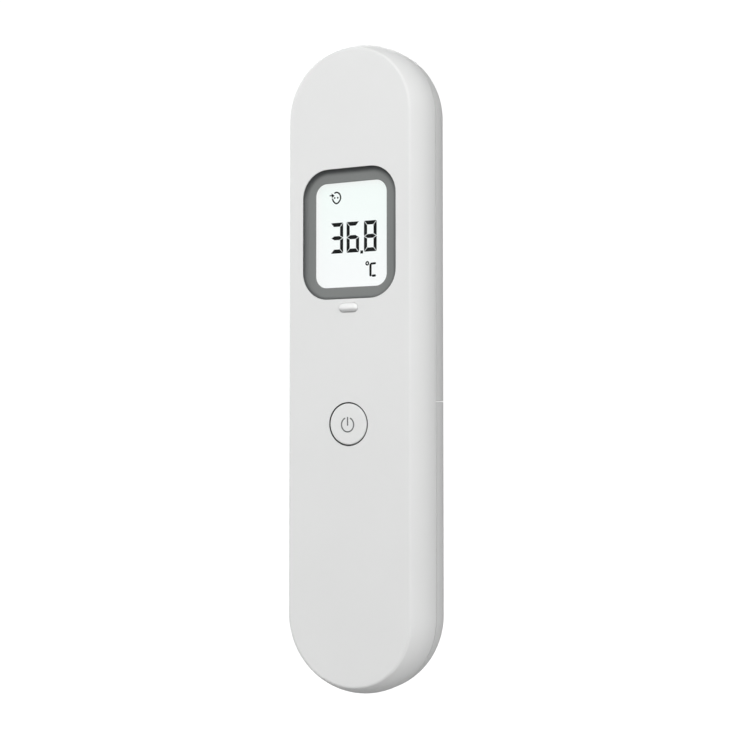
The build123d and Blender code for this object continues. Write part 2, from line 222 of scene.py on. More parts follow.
class Finish(Nodes):
    """One material of the thermometer, laid out in its own coordinates."""

    def __init__(self, name):
        self.material = bpy.data.materials.new(name)
        self.material.use_nodes = True
        super().__init__(self.material.node_tree, "Object")

    def noise(self, size, detail=2.0, roughness=0.5, at=None):
        """Soft random field with features of about `size` metres, from 0 to 1."""
        sockets = {"Vector": at or self.place, "Scale": 1 / size, "Detail": detail, "Roughness": roughness}
        return self.node("ShaderNodeTexNoise", inputs=sockets)

    def patches(self, size):
        """Random flat colours in cells about `size` metres across."""
        sockets = {"Vector": self.place, "Scale": 1 / size}
        return self.node("ShaderNodeTexVoronoi", {"feature": "F1"}, sockets, "Color")

    def reach(self, centre):
        """Distance from the line through `centre` along the depth axis."""
        across = self.x - centre.x
        along = self.z - centre.z
        return (across * across + along * along) ** 0.5

    def stretched(self, scale):
        """Coordinates squeezed by a factor along each axis, for grain and brushing."""
        return self.node("ShaderNodeMapping", inputs={"Vector": self.place, "Scale": scale})

    def blend(self, share, first, second):
        """Colour that goes from `first` to `second` as share goes from 0 to 1."""
        sockets = {0: share, 6: opaque(first), 7: opaque(second)}
        return self.node("ShaderNodeMix", {"data_type": "RGBA"}, sockets, 2)

    def bump(self, height, depth):
        """Small relief: height runs from 0 to 1 over `depth` metres."""
        sockets = {"Height": height, "Distance": depth, "Strength": 1.0}
        return self.node("ShaderNodeBump", inputs=sockets)

    def surface(self, colour, roughness, normal=None, **constants):
        """Principled surface to the output. Constants are named with underscores for spaces."""
        sockets = {"Base Color": opaque(colour), "Roughness": roughness}
        if normal is not None:
            sockets["Normal"] = normal
        for name, value in constants.items():
            sockets[name.replace("_", " ")] = value
        shader = self.node("ShaderNodeBsdfPrincipled", inputs=sockets)
        self.node("ShaderNodeOutputMaterial", inputs={"Surface": shader}, output=None)
        return self.material


def opaque(colour):
    """A colour as a socket takes it: a wire stays, and three numbers get a fourth for opacity."""
    return colour if isinstance(colour, Wire) else (*colour, 1.0)


def scaled(colour, factor):
    """A colour made darker or lighter by a factor, and never past white."""
    return tuple(min(1.0, factor * part) for part in colour)


# ---------------------------------------------------------------------------
# Finishes
# ---------------------------------------------------------------------------

def moulded_white(name, colour, relief=0.000003, roughness=0.34, painted_shade_past=0.0):
    """Satin white moulding: a fine spark texture, faint clouding and a slightly uneven gloss. Painted shade
    makes it dark down in the groove round the button, past the radius that its last argument gives from
    the button's middle, and painted shade makes it a little greyer behind the seam between the covers."""
    finish = Finish(name)
    cloud = finish.noise(0.022, 3.0)
    spark = finish.noise(0.00016, 3.0, 0.6)
    clean = finish.blend(finish.smooth(cloud, 0.3, 0.7), scaled(colour, 0.985), colour)
    radius = finish.reach(BUTTON)
    # Painted shade: near black down in the groove round the button, and a greyer tone on the covers behind
    # the seam
    beside = (radius < GROOVE_RADIUS) * (radius > painted_shade_past)
    deep = finish.smooth(finish.y, GROOVE_TOP, GROOVE_PAINTED_SHADE_FULL) * (finish.y < GROOVE_FLOOR)
    covers = finish.blend(finish.y > SEAM, clean, scaled(colour, REAR_PAINTED_SHADE))
    shade = finish.blend(beside * deep, covers, (0.06, 0.06, 0.062))
    gloss = roughness + 0.05 * finish.noise(0.004, 2.0) + 0.04 * spark
    return finish.surface(shade, gloss, finish.bump(spark, relief), IOR=1.49, Specular_IOR_Level=0.42)


def milky_diffuser():
    """Milky white of the indicator: even along its top, with painted shade that falls smoothly to grey
    below its middle."""
    finish = Finish("milky_diffuser")
    fleck = finish.noise(0.00012, 2.0)
    # Painted shade: the lower half is blended from white to grey
    low = finish.smooth(finish.z, PIPE.z, PIPE.z - 0.75 * MM)
    shade = finish.blend(low, (0.9, 0.905, 0.9), (0.6, 0.605, 0.605))
    return finish.surface(shade, 0.2 + 0.06 * fleck, finish.bump(fleck, 0.000001), IOR=1.5)


def moulded_plain(name, colour):
    """Plain moulding for inner pieces: fine grain and soft mottling."""
    finish = Finish(name)
    cloud = finish.noise(0.003, 3.0)
    grit = finish.noise(0.00025, 2.0)
    shade = finish.blend(cloud, scaled(colour, 0.8), scaled(colour, 1.15))
    return finish.surface(shade, 0.5 + 0.15 * (grit - 0.5), finish.bump(grit, 0.000006))


def rounded_distance(finish, centre, sizes):
    """How far a place lies inside a rounded rectangle's outline, in metres: the corner radius less the
    distance to the rectangle of the corner centres. The sizes are millimetres, as SURROUND_OUTER's are."""
    half_width, half_height, corner = (size * MM for size in sizes)
    over_x = (abs(finish.x - centre.x) - (half_width - corner)).at_least(0.0)
    over_z = (abs(finish.z - centre.z) - (half_height - corner)).at_least(0.0)
    return corner - (over_x * over_x + over_z * over_z) ** 0.5


def surround_grey():
    """Satin grey of the display surround, with fine speckle and a painted shade along its edge, broader at
    the top.
    """
    finish = Finish("surround_grey")
    speckle = finish.noise(0.00012, 2.0, 0.7)
    cloud = finish.noise(0.006, 2.0)
    # Painted shade: a dark band inside the outer edge, measured from an outline moved down a little so that
    # it is broader at the top
    painted_shade_centre = WINDOW + Vector((-0.12, 0.0, -0.3)) * MM
    inside = rounded_distance(finish, painted_shade_centre, SURROUND_OUTER)
    rim = finish.smooth(inside + 0.15 * MM * cloud, 0.1 * MM, 1.3 * MM)
    face = finish.blend(speckle, (0.195, 0.205, 0.2), (0.222, 0.232, 0.228))
    shade = finish.blend(rim, (0.085, 0.09, 0.09), face)
    return finish.surface(shade, 0.4 + 0.08 * cloud, finish.bump(speckle, 0.000003), Specular_IOR_Level=0.3)


def clear_window():
    """Hard-coated clear window: almost invisible, with a faint gloss and the slightest smear."""
    finish = Finish("clear_window")
    smear = finish.noise(0.005, 3.0)
    haze = 0.005 + 0.006 * finish.smooth(smear, 0.5, 0.8)
    return finish.surface((0.93, 0.97, 0.96), 0.04 + 0.05 * smear, Alpha=haze, IOR=1.49)


def lit_display():
    """Backlit white panel: cool white, a little brighter by its rim, with a faint diffuser grain."""
    finish = Finish("lit_display")
    across = abs(finish.x - WINDOW.x) / (9.6 * MM)
    along = abs(finish.z - WINDOW.z) / (12.4 * MM)
    rim = finish.smooth(across.at_least(along), 0.82, 1.05)
    grain = finish.noise(0.0002, 2.0)
    fall = finish.smooth(finish.z, WINDOW.z - 13 * MM, WINDOW.z + 13 * MM)
    panel = finish.blend(fall, (0.945, 0.965, 0.965), (0.905, 0.975, 0.948))
    glow = finish.blend(rim, panel, (0.98, 0.995, 0.99))
    shade = finish.blend(grain, (0.10, 0.11, 0.11), (0.12, 0.13, 0.13))
    return finish.surface(shade, 0.5, Emission_Color=glow, Emission_Strength=0.885, Specular_IOR_Level=0.1)


def display_ink():
    """Dark liquid-crystal segment: near black with a faint blue-green cast that varies a little."""
    finish = Finish("display_ink")
    drift = finish.noise(0.002, 2.0)
    shade = finish.blend(drift, (0.002, 0.003, 0.003), (0.005, 0.007, 0.007))
    return finish.surface(shade, 0.55 + 0.1 * drift, Specular_IOR_Level=0.05)


def printed_grey():
    """Pad-printed grey mark with a slightly thin, uneven ink film."""
    finish = Finish("printed_grey")
    film = finish.noise(0.0002, 3.0, 0.7)
    shade = finish.blend(film, (0.095, 0.1, 0.103), (0.15, 0.155, 0.158))
    return finish.surface(shade, 0.5 + 0.15 * film, finish.bump(film, 0.000004))


def frosted_clear(name, colour, glow=0.0):
    """Frosted clear moulding that scatters light, such as a light guide."""
    finish = Finish(name)
    frost = finish.noise(0.0003, 3.0)
    shade = finish.blend(frost, scaled(colour, 0.95), colour)
    return finish.surface(
        shade, 0.3 + 0.15 * frost, finish.bump(frost, 0.000004),
        Subsurface_Weight=0.25, Subsurface_Scale=0.002, Emission_Color=opaque(colour), Emission_Strength=glow,
    )


def brushed_metal(name, colour, roughness=0.3, stretch=(1.0, 1.0, 18.0)):
    """Plated metal with fine drawn lines and faint tarnish clouds."""
    finish = Finish(name)
    lines = finish.noise(0.0004, 3.0, 0.6, at=finish.stretched(stretch))
    cloud = finish.noise(0.0035, 3.0)
    shade = finish.blend(finish.smooth(cloud, 0.35, 0.75), colour, scaled(colour, 0.88))
    gloss = roughness + 0.14 * (lines - 0.5) + 0.08 * cloud
    return finish.surface(shade, gloss, finish.bump(lines, 0.000004), Metallic=1.0)


def turned_metal(name, colour, node):
    """Metal turned on a lathe about the depth axis of a node: fine concentric tool marks."""
    finish = Finish(name)
    spacing = 0.12 * MM
    marks = (finish.reach(middle(node)) * (2 * math.pi / spacing)).wave()
    cloud = finish.noise(0.002, 3.0)
    shade = finish.blend(cloud, scaled(colour, 0.85), colour)
    return finish.surface(shade, 0.22 + 0.12 * cloud, finish.bump(marks, 0.000003), Metallic=1.0)


def moulded_rubber(name, colour):
    """Matt rubber with a dusty bloom."""
    finish = Finish(name)
    bloom = finish.noise(0.0015, 4.0, 0.7)
    pores = finish.noise(0.00015, 2.0)
    shade = finish.blend(finish.smooth(bloom, 0.4, 0.8), colour, tuple(c + 0.03 for c in colour))
    return finish.surface(shade, 0.75 + 0.15 * pores, finish.bump(pores, 0.00001))


def zebra_rubber():
    """Connector strip: thin dark conducting layers between pale insulating ones."""
    finish = Finish("zebra_rubber")
    layer = (finish.x / (0.2 * MM)).fraction()
    pores = finish.noise(0.00008, 2.0)
    shade = finish.blend(layer > 0.5, (0.05, 0.05, 0.055), (0.55, 0.4, 0.33))
    return finish.surface(shade, 0.6 + 0.2 * pores, finish.bump(pores, 0.000004))


def board_laminate():
    """Green solder mask over copper tracks, with tinned pads and the woven edge of the laminate."""
    finish = Finish("board_laminate")
    low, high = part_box("main_board")
    lane = ((finish.x + 0.4 * finish.noise(0.02, 1.0) * MM) / (1.1 * MM)).fraction()
    rung = (finish.z / (2.7 * MM)).fraction()
    choice = finish.node("ShaderNodeSeparateColor", inputs={0: finish.patches(0.006)})
    track = abs(lane - 0.5) < 0.13
    rail = abs(rung - 0.5) < 0.06
    copper = ((choice > 0.5) * track).at_least((choice < 0.5) * rail)
    pitch = 1.27 * MM
    pad_x = abs((finish.x / pitch).fraction() - 0.5) < 0.26
    pad_z = abs((finish.z / pitch).fraction() - 0.5) < 0.26
    tinned = pad_x * pad_z * (finish.noise(0.007, 0.0) > 0.62)
    film = 0.06 * MM
    edge = (finish.y < low[1] + film) + (finish.y > high[1] - film)
    weave = finish.noise(0.0003, 2.0)
    mask = finish.blend(copper, (0.006, 0.085, 0.035), (0.02, 0.19, 0.075))
    faces = finish.blend(tinned, mask, (0.62, 0.6, 0.56))
    core = finish.blend(weave, (0.32, 0.34, 0.16), (0.5, 0.5, 0.28))
    shade = finish.blend(edge.at_most(1.0), core, faces)
    relief = finish.bump(copper + 0.15 * weave, 0.00003)
    return finish.surface(shade, 0.34 - 0.1 * tinned + 0.1 * weave, relief, Metallic=0.0)


def chip_package(name, node, half_width, half_height):
    """Black moulded package with a dimple by its first pin. Its leads, outside its own edges, are tinned."""
    finish = Finish(name)
    centre = middle(node)
    outside = (abs(finish.x - centre.x) > half_width).at_least(abs(finish.z - centre.z) > half_height)
    first_pin = centre + Vector((-0.7 * half_width, 0.0, 0.7 * half_height))
    dimple = finish.reach(first_pin) < 0.14 * half_width
    grit = finish.noise(0.0001, 2.0)
    body = finish.blend(grit, (0.018, 0.018, 0.02), (0.035, 0.035, 0.038))
    marked = finish.blend(dimple, body, (0.07, 0.07, 0.075))
    shade = finish.blend(outside, marked, (0.68, 0.67, 0.64))
    height = grit * 0.3 - dimple
    return finish.surface(shade, 0.62 - 0.3 * outside, finish.bump(height, 0.00002), Metallic=outside)


def chip_parts(name, body_colour, half_body, along):
    """Chip parts with a ceramic middle and tinned ends: ends lie past half_body along the chosen axis."""
    finish = Finish(name)
    grit = finish.noise(0.00012, 2.0)
    body = finish.blend(grit, scaled(body_colour, 0.8), body_colour)
    ends = along(finish, half_body)
    shade = finish.blend(ends, body, (0.7, 0.69, 0.66))
    return finish.surface(shade, 0.5 - 0.2 * ends + 0.1 * grit, finish.bump(grit, 0.000006), Metallic=ends)


def capacitor_ends(finish, half_body):
    """Ends of the capacitors, which lie in two columns across the board."""
    from_column = abs(abs(finish.x) - 9.0 * MM)
    return from_column > half_body


def resistor_ends(finish, half_body):
    """Ends of the resistors, which stand in one row."""
    return abs(finish.z - middle("chip_resistors").z) > half_body


def sensor_glass():
    """Coated silicon filter: dark, glossy, with a violet to green sheen."""
    finish = Finish("sensor_glass")
    drift = finish.noise(0.0012, 2.0)
    sheen = finish.node("ShaderNodeLayerWeight", inputs={"Blend": 0.4}, output="Facing")
    shade = finish.blend(sheen, (0.03, 0.028, 0.05), (0.06, 0.11, 0.09))
    return finish.surface(shade, 0.06 + 0.05 * drift, Coat_Weight=1.0, Coat_Roughness=0.03, IOR=2.2)


def polished_black():
    """Smooth black horn with a soft gloss and faint flow marks from moulding."""
    finish = Finish("polished_black")
    flow = finish.noise(0.0012, 3.0, at=finish.stretched((1.0, 6.0, 1.0)))
    dust = finish.smooth(finish.noise(0.00035, 4.0, 0.8), 0.68, 0.78)
    shade = finish.blend(dust, (0.012, 0.012, 0.014), (0.05, 0.05, 0.052))
    return finish.surface(shade, 0.2 + 0.12 * flow + 0.2 * dust, finish.bump(flow, 0.000003))


def plated_ring():
    """Bright plated trim ring with hair scratches round it."""
    finish = Finish("plated_ring")
    hair = finish.noise(0.0003, 3.0, at=finish.stretched((1.0, 10.0, 1.0)))
    shade = finish.blend(hair, (0.72, 0.73, 0.75), (0.82, 0.83, 0.85))
    return finish.surface(shade, 0.1 + 0.12 * hair, finish.bump(hair, 0.000002), Metallic=1.0)


def cell_sleeve():
    """Printed cell sleeve: deep blue-grey, with a copper band at its positive end and a pale line beside it
    towards the other end."""
    finish = Finish("cell_sleeve")
    low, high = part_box("battery_left")
    share = (finish.z - low[2]) / (high[2] - low[2])
    left = finish.x < 0.0
    from_negative = left * share + (1 - left) * (1 - share)
    band = from_negative > 0.74
    trim = abs(from_negative - 0.735) < 0.006
    film = finish.noise(0.001, 3.0)
    main = finish.blend(film, (0.018, 0.035, 0.06), (0.024, 0.045, 0.075))
    copper = finish.blend(film, (0.62, 0.27, 0.08), (0.7, 0.33, 0.11))
    shade = finish.blend(trim, finish.blend(band, main, copper), (0.75, 0.76, 0.78))
    gloss = 0.26 + 0.1 * film
    return finish.surface(shade, gloss, Metallic=0.55 * band, Coat_Weight=0.5, Coat_Roughness=0.15)


def floor_paint():
    """Pale floor that glows faintly where it is seen, and throws little light back on what stands on it."""
    finish = Finish("floor_paint")
    mottle = finish.noise(0.12, 2.0)
    shade = finish.blend(mottle, (0.245, 0.245, 0.245), (0.255, 0.255, 0.255))
    matt = finish.node("ShaderNodeBsdfDiffuse", inputs={"Color": shade})
    glow = finish.node("ShaderNodeEmission", inputs={"Strength": FLOOR_GLOW})
    pale = finish.node("ShaderNodeAddShader", inputs={0: matt, 1: glow})
    seen = finish.node("ShaderNodeLightPath", output="Is Camera Ray")
    dim = finish.node("ShaderNodeBsdfDiffuse", inputs={"Color": opaque((FLOOR_BOUNCE,) * 3)})
    both = finish.node("ShaderNodeMixShader", inputs={0: seen, 1: dim, 2: pale})
    finish.node("ShaderNodeOutputMaterial", inputs={"Surface": both}, output=None)
    return finish.material


# ---------------------------------------------------------------------------
# Shapes
# ---------------------------------------------------------------------------

def add_mesh(name, points, faces, material, body, smooth=True):
    """Make a piece from points in metres and a list of faces, which rides on a body."""
    mesh = bpy.data.meshes.new(name)
    mesh.from_pydata(points.reshape(-1, 3).tolist(), [], faces)
    mesh.polygons.foreach_set("use_smooth", np.full(len(mesh.polygons), smooth))
    mesh.materials.append(material)
    mesh.update()
    piece = bpy.data.objects.new(name, mesh)
    bpy.context.scene.collection.objects.link(piece)
    if body is None:
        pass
    else:
        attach(piece, body)
    return piece


def grid_faces(rows, columns, ring_rows=False, ring_columns=False, start=0):
    """Quads that join a grid of points row by row. A ring also joins its last row or column to its first."""
    row = np.arange(rows if ring_rows else rows - 1)[:, None]
    column = np.arange(columns if ring_columns else columns - 1)[None, :]
    next_row = (row + 1) % rows
    next_column = (column + 1) % columns
    corners = [row * columns + column, row * columns + next_column]
    corners += [next_row * columns + next_column, next_row * columns + column]
    return (np.stack(np.broadcast_arrays(*corners), axis=-1).reshape(-1, 4) + start).tolist()


def end_faces(rows, columns):
    """Two flat faces that close the first and the last row of a grid of points."""
    return [list(range(columns)), list(range((rows - 1) * columns, rows * columns))]


def soften(piece, width):
    """Round the sharp edges of a piece a little."""
    bevel = piece.modifiers.new("soft_edges", "BEVEL")
    bevel.width = width
    bevel.segments = 2
    bevel.limit_method = "ANGLE"
    bevel.angle_limit = math.radians(35.0)


def rounded_outline(half_width, half_height, corner, per_corner=28, per_side=14):
    """Rounded rectangle as closed arrays: four quarter circles of radius `corner`, joined by evenly
    divided straight sides. Widths may be arrays, one per row, so that outlines nest point for point."""
    half_width, half_height, corner = (
        np.atleast_1d(value)[:, None] for value in (half_width, half_height, corner)
    )
    turn = np.linspace(0, math.pi / 2, per_corner)[None, :]
    step = np.linspace(0, 1, per_side + 2)[None, 1:-1]
    across, along = [], []
    for quarter, (side_x, side_z) in enumerate(((1, 1), (-1, 1), (-1, -1), (1, -1))):
        angle = turn + quarter * math.pi / 2
        across.append(side_x * (half_width - corner) + corner * np.cos(angle))
        along.append(side_z * (half_height - corner) + corner * np.sin(angle))
        next_x, next_z = ((-1, 1), (-1, -1), (1, -1), (1, 1))[quarter]
        end = (quarter + 1) * math.pi / 2
        to_x = next_x * (half_width - corner) + corner * math.cos(end)
        to_z = next_z * (half_height - corner) + corner * math.sin(end)
        across.append(across[-1][:, -1:] * (1 - step) + to_x * step)
        along.append(along[-1][:, -1:] * (1 - step) + to_z * step)
    return np.concatenate(across, axis=1), np.concatenate(along, axis=1)


def spun(name, profile, centre, axis, material, body, count=96):
    """Turn a profile of (radius, height) points round an axis through `centre`. Each point sits at
    centre + radius (cos a, sin a) across the axis + height along it. Radii of 0 close the ends."""
    radius, height = np.array(profile).T
    angle = np.linspace(0, 2 * math.pi, count, endpoint=False)
    first = radius[:, None] * np.cos(angle)
    second = radius[:, None] * np.sin(angle)
    level = np.broadcast_to(height[:, None], first.shape)
    order = {"Z": (first, second, level), "Y": (second, level, first)}[axis]
    points = np.stack(order, axis=-1) + np.array(centre)
    faces = grid_faces(len(radius), count, ring_columns=True)
    piece = add_mesh(name, points, faces, material, body)
    merge(piece)
    return piece


def merge(piece):
    """Close poles and seams: join points that meet, then face every surface outwards."""
    shape = bmesh.new()
    shape.from_mesh(piece.data)
    bmesh.ops.remove_doubles(shape, verts=shape.verts, dist=1e-7)
    bmesh.ops.dissolve_degenerate(shape, edges=shape.edges, dist=1e-8)
    bmesh.ops.recalc_face_normals(shape, faces=shape.faces)
    shape.to_mesh(piece.data)
    shape.free()


def plates(name, outlines, near, far, material, body, round_edge=0.0):
    """Flat plates cut to outlines of (x, z) points, from one depth to another: a front, a back and walls."""
    points, faces, start = [], [], 0
    for outline in outlines:
        edge = np.array(outline)
        count = len(edge)
        for depth in (near, far):
            points.append(np.stack([edge[:, 0], np.full(count, depth), edge[:, 1]], axis=-1))
        front = list(range(start, start + count))
        back = list(range(start + count, start + 2 * count))
        faces += [front, back[::-1]]
        faces += grid_faces(2, count, ring_columns=True, start=start)
        start += 2 * count
    piece = add_mesh(name, np.concatenate(points), faces, material, body, smooth=False)
    merge(piece)
    if round_edge:
        soften(piece, round_edge)
    return piece


def stroke(path, width, caps=8):
    """Outline of a pen stroke: the path moved half the width to each side along its own normal, with a
    half circle at each end."""
    path = np.array(path)
    along = np.gradient(path, axis=0)
    along /= np.linalg.norm(along, axis=1)[:, None]
    side = np.stack([-along[:, 1], along[:, 0]], axis=-1) * width / 2
    turn = np.linspace(0, math.pi, caps + 2)[1:-1][:, None]
    end = path[-1] + side[-1] * np.cos(turn) + along[-1] * np.sin(turn) * width / 2
    begin = path[0] - side[0] * np.cos(turn) - along[0] * np.sin(turn) * width / 2
    return np.concatenate([path + side, end, (path - side)[::-1], begin])


def arc_path(centre, radii, start, stop, count=60):
    """Points on an ellipse from one angle to another, in degrees from +X towards +Z."""
    angle = np.radians(np.linspace(start, stop, count))
    return np.stack([centre[0] + radii[0] * np.cos(angle), centre[1] + radii[1] * np.sin(angle)], axis=-1)


def head_path(centre, half_width, half_height, start=-172, stop=116, count=90):
    """Points on an oval that narrows towards its chin: across = half width x cos a x (1 - chin), where the
    chin is a share of the square of the downward part of sin a."""
    angle = np.radians(np.linspace(start, stop, count))
    chin_share = 0.28
    chin = chin_share * np.clip(-np.sin(angle), 0, 1) ** 2
    across = centre[0] + half_width * np.cos(angle) * (1 - chin)
    return np.stack([across, centre[1] + half_height * np.sin(angle)], axis=-1)


def line_path(start, stop, count=6):
    """Points along a straight line."""
    return np.linspace(start, stop, count)


# ---------------------------------------------------------------------------
# Display
# ---------------------------------------------------------------------------

def display_surround(material):
    """Dished surround. Each ring of the grid is a rounded rectangle between the outer and the inner
    outline; its depth follows a quarter ellipse from the outer edge down to a flat ledge, then the wall
    of the opening, and returns behind."""
    outer = np.array(SURROUND_OUTER)
    inner = np.array(SURROUND_INNER)
    fall = np.linspace(0, math.pi / 2, 14)
    # Each point of the profile is a share of the way inwards and a depth in millimetres
    dish = np.stack([0.006 + 0.3 * (1 - np.cos(fall)), 0.1 + 0.95 * np.sin(fall)], axis=-1)
    lip = np.array([[0.0, 2.45], [0.0, 0.16], [0.0015, 0.12]])
    ledge = np.array([[0.6, 1.1], [0.93, 1.14], [0.985, 1.16], [1.0, 1.2]])
    back = np.array([[1.0, 1.3], [0.69, 1.3], [0.67, 2.45]])
    profile = np.concatenate([lip, dish, ledge, back])
    share = profile[:, :1]
    sizes = (outer * (1 - share) + inner * share) * MM
    across, along = rounded_outline(sizes[:, 0], sizes[:, 1], sizes[:, 2])
    depth = np.broadcast_to(FRONT + profile[:, 1:] * MM, across.shape)
    drop = share * 0.15 * MM
    points = np.stack([across + WINDOW.x, depth, along + WINDOW.z - drop], axis=-1)
    faces = grid_faces(*across.shape, ring_rows=True, ring_columns=True)
    piece = add_mesh("display_surround", points, faces, material, "housing")
    merge(piece)
    piece.data.set_sharp_from_angle(angle=math.radians(50))
    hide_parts("window_frame")


def indicator_dome(material):
    """Domed lozenge over the indicator light. Each ring of the grid is the lozenge's outline moved inwards.
    Its rise is the square root of 1 - (1 - share moved) to the power 1.7, and its foot goes back into the
    body."""
    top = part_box("indicator_light_pipe")[0][1]
    half_width = 2.4 * MM
    half_height = 1.05 * MM
    dome = 1.02 * MM
    foot = FRONT + 0.9 * MM
    share = np.sin(np.linspace(0, math.pi / 2, 16))
    inset = np.concatenate([[0.0, 0.0], share[1:] * dome])
    rise = np.sqrt(1 - (1 - share) ** 1.7)
    level = np.concatenate([[foot, FRONT], FRONT + rise[1:] * (top - FRONT)])
    across, along = rounded_outline(half_width - inset, half_height - inset, half_height - inset)
    depth = np.broadcast_to(level[:, None], across.shape)
    points = np.stack([across + PIPE.x, depth, along + PIPE.z], axis=-1)
    faces = grid_faces(*across.shape, ring_columns=True) + end_faces(*across.shape)
    piece = add_mesh("indicator_dome", points, faces, material, "housing")
    merge(piece)
    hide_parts("indicator_light_pipe")


# Digits in millimetres: their size, how thick bars and posts are, and half the gap between segments
DIGIT_WIDTH = 3.25
DIGIT_HEIGHT = 7.1
BAR = 0.92
POST = 0.8
CUT = 0.06
SEGMENTS = {"3": "abcdg", "6": "acdefg", "8": "abcdefg"}
# Left edge of each digit and foot of them all, from the middle of the window
READING = (("3", -6.08), ("6", -1.92), ("8", 2.6))
READING_FOOT = -4.13


def segment(kind):
    """One segment of a digit in millimetres, from its lower left corner: bars are trapeziums with slanted
    ends, posts are slim trapeziums between them, and the middle bar is a hexagon."""
    width, height, waist = DIGIT_WIDTH, DIGIT_HEIGHT, DIGIT_HEIGHT / 2
    if kind in "ad":
        shape = np.array([[CUT, 0], [width - CUT, 0], [width - CUT - POST, BAR], [CUT + POST, BAR]])
        return shape if kind == "d" else np.array([0, height]) + shape * [1, -1]
    if kind == "g":
        tip, half = 0.16, BAR / 2
        shape = [[tip, 0], [POST + tip, half], [width - POST - tip, half], [width - tip, 0]]
        shape += [[width - POST - tip, -half], [POST + tip, -half]]
        return np.array(shape) + [0, waist]
    low = np.array([[0, CUT * 1.5], [POST, BAR + CUT * 2], [POST, waist - BAR / 2 - CUT], [0, waist - CUT]])
    if kind in "bf":
        low = np.array([0, height]) + low * [1, -1]
    return np.array([width, 0]) + low * [-1, 1] if kind in "bc" else low


def ink_point(x, z):
    """A place on the display in millimetres from the middle of the window."""
    return np.array([WINDOW.x + x * MM, WINDOW.z + z * MM])


def display_digits(material):
    """Reading of three digits and its decimal point, as thin plates on the display's face."""
    outlines = []
    for digit, left in READING:
        outlines += [ink_point(left, READING_FOOT) + segment(kind) * MM for kind in SEGMENTS[digit]]
    dot = np.array([[0, 0], [0.7, 0], [0.7, 0.72], [0, 0.72]])
    outlines.append(ink_point(1.66, -4.5) + dot * MM)
    plates("display_digits", outlines, INK_NEAR, INK_FAR, material, "housing", INK_EDGE)


def pen_line(start, stop, width, caps=4):
    """Straight pen stroke between two places on the display, in millimetres."""
    return stroke(line_path(ink_point(*start), ink_point(*stop)), width * MM, caps)


def pen_ring(centre, radii, start, stop, width, count=60):
    """Pen stroke round an ellipse on the display, in millimetres and degrees."""
    path = arc_path(ink_point(*centre), (radii[0] * MM, radii[1] * MM), start, stop, count)
    return stroke(path, width * MM, 1)


def display_symbols(material):
    """Unit and measuring-mode symbols: a degree ring, a square C, an oval head outline with two dots and
    an arrow that points at it."""
    outlines = [
        pen_ring((3.45, -6.83), (0.33, 0.36), 4, 356, 0.32),
        pen_line((4.27, -9.6), (4.27, -7.2), 0.56),
        pen_line((4.45, -6.95), (5.45, -6.9), 0.48),
        pen_line((4.85, -9.72), (5.4, -9.7), 0.54),
        stroke(head_path(ink_point(-4.57, 8.76), 1.06 * MM, 1.3 * MM), 0.34 * MM, 3),
        pen_ring((-5.06, 8.8), (0.1, 0.1), 0, 340, 0.24, 10),
        pen_ring((-4.26, 8.8), (0.1, 0.1), 0, 340, 0.24, 10),
        pen_line((-6.3, 9.42), (-5.85, 9.38), 0.26, 3),
        np.array([ink_point(-5.9, 9.95), ink_point(-5.1, 9.36), ink_point(-5.78, 8.82)]),
    ]
    plates("display_symbols", outlines, INK_NEAR, INK_FAR, material, "housing")


def power_mark(material):
    """Printed power sign on the button: an open ring and an upright bar, a thin film of ink."""
    centre = np.array([BUTTON.x - 0.14 * MM, BUTTON.z - 0.14 * MM])
    radii = (1.56 * MM, 1.62 * MM)
    width = 0.31 * MM
    ring = stroke(arc_path(centre, radii, 118, 422, 80), width)
    bar = stroke(line_path(centre + [0, -0.1 * MM], centre + [0, radii[1]]), width)
    near = BUTTON_FACE - 0.012 * MM
    far = BUTTON_FACE + 0.02 * MM
    plates("power_mark", [ring, bar], near, far, material, "button")


# ---------------------------------------------------------------------------
# Cells and springs
# ---------------------------------------------------------------------------

def battery(side, sleeve, steel, insulator):
    """AAA cell: a printed sleeve rolled over both ends, a steel base, a nub and a dark sealing ring. Each
    profile is (radius, height) in millimetres, from the base up."""
    node = f"battery_{side}"
    top = BODY_LENGTH
    sleeve_shape = [
        (3.9, 0.12), (4.6, 0.04), (5.0, 0.1), (5.15, 0.3), (SLEEVE_RADIUS, 0.7), (SLEEVE_RADIUS, top / 2),
        (SLEEVE_RADIUS, top - 0.9), (5.12, top - 0.45), (4.8, top - 0.2), (4.3, top - 0.22), (4.2, top - 0.4),
        (4.2, 0.5), (3.9, 0.45), (3.9, 0.12),
    ]
    base_shape = [(0.0, 0.05), (3.0, 0.05), (3.15, 0.16), (3.4, 0.18), (4.1, 0.18), (4.1, 0.4), (0.0, 0.4)]
    nub_shape = [
        (0.0, top + 0.8), (1.6, top + 0.8), (1.82, top + 0.7), (1.9, top + 0.5), (1.95, top - 0.15),
        (2.2, top - 0.32), (2.9, top - 0.36), (2.9, top - 0.6), (0.0, top - 0.6),
    ]
    seal_shape = [
        (2.85, top - 0.38), (3.5, top - 0.3), (4.15, top - 0.34), (4.15, top - 0.6), (2.85, top - 0.6),
        (2.85, top - 0.38),
    ]
    upwards = 1 if side == "left" else -1
    for part, shape, material, slot in (
        ("sleeve", sleeve_shape, sleeve, "cell_jacket"),
        ("base", base_shape, steel, "contact_nickel"),
        ("nub", nub_shape, steel, "contact_nickel"),
        ("seal", seal_shape, insulator, "black_plastic"),
    ):
        profile = np.array(shape) * MM
        profile[:, 1] = upwards * (profile[:, 1] - (top / 2 + HALF_NUB) * MM)
        piece = spun(f"cell_{part}_{side}", profile, middle(node), "Z", material, "housing")
        piece.data.set_sharp_from_angle(angle=math.radians(40))
        if part == "sleeve":
            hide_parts(node)


